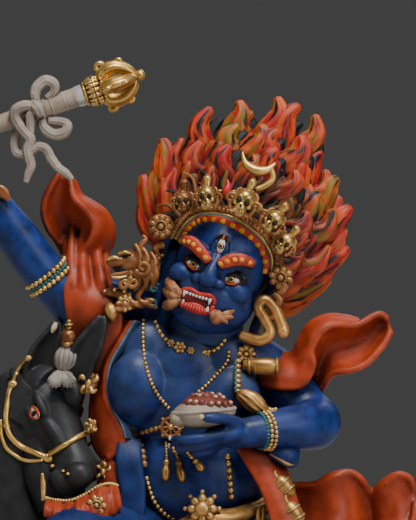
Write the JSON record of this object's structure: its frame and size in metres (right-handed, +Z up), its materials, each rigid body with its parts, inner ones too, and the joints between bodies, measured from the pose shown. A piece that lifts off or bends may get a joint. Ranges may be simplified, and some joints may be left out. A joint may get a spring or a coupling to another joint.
{
  "type": "statue",
  "caption": "Painted statue of a wrathful blue goddess who rides a black mule side-saddle, club raised, red scarves and flaming hair, on a low oval lotus base",
  "frame": {"origin": "the middle of the base's flat underside", "axes": "+Z is up, the rider faces -Y, and the mule's body points to -X"},
  "size_m": [0.1258, 0.072, 0.1993],
  "materials": {
    "lotus_paint": "matt hand-painted cast resin, terracotta red with worn gold",
    "black_coat": "matt black paint on cast resin with brushed grey highlights",
    "blue_skin": "satin deep blue paint on cast resin with red scarves and gold ornaments",
    "ivory_shaft": "ivory and grey wash on cast resin with a gold head"
  },
  "bodies": {
    "root": {"base": "lotus_paint", "mule": "black_coat", "rider": "blue_skin", "club": "ivory_shaft"}
  },
  "joints": []
}
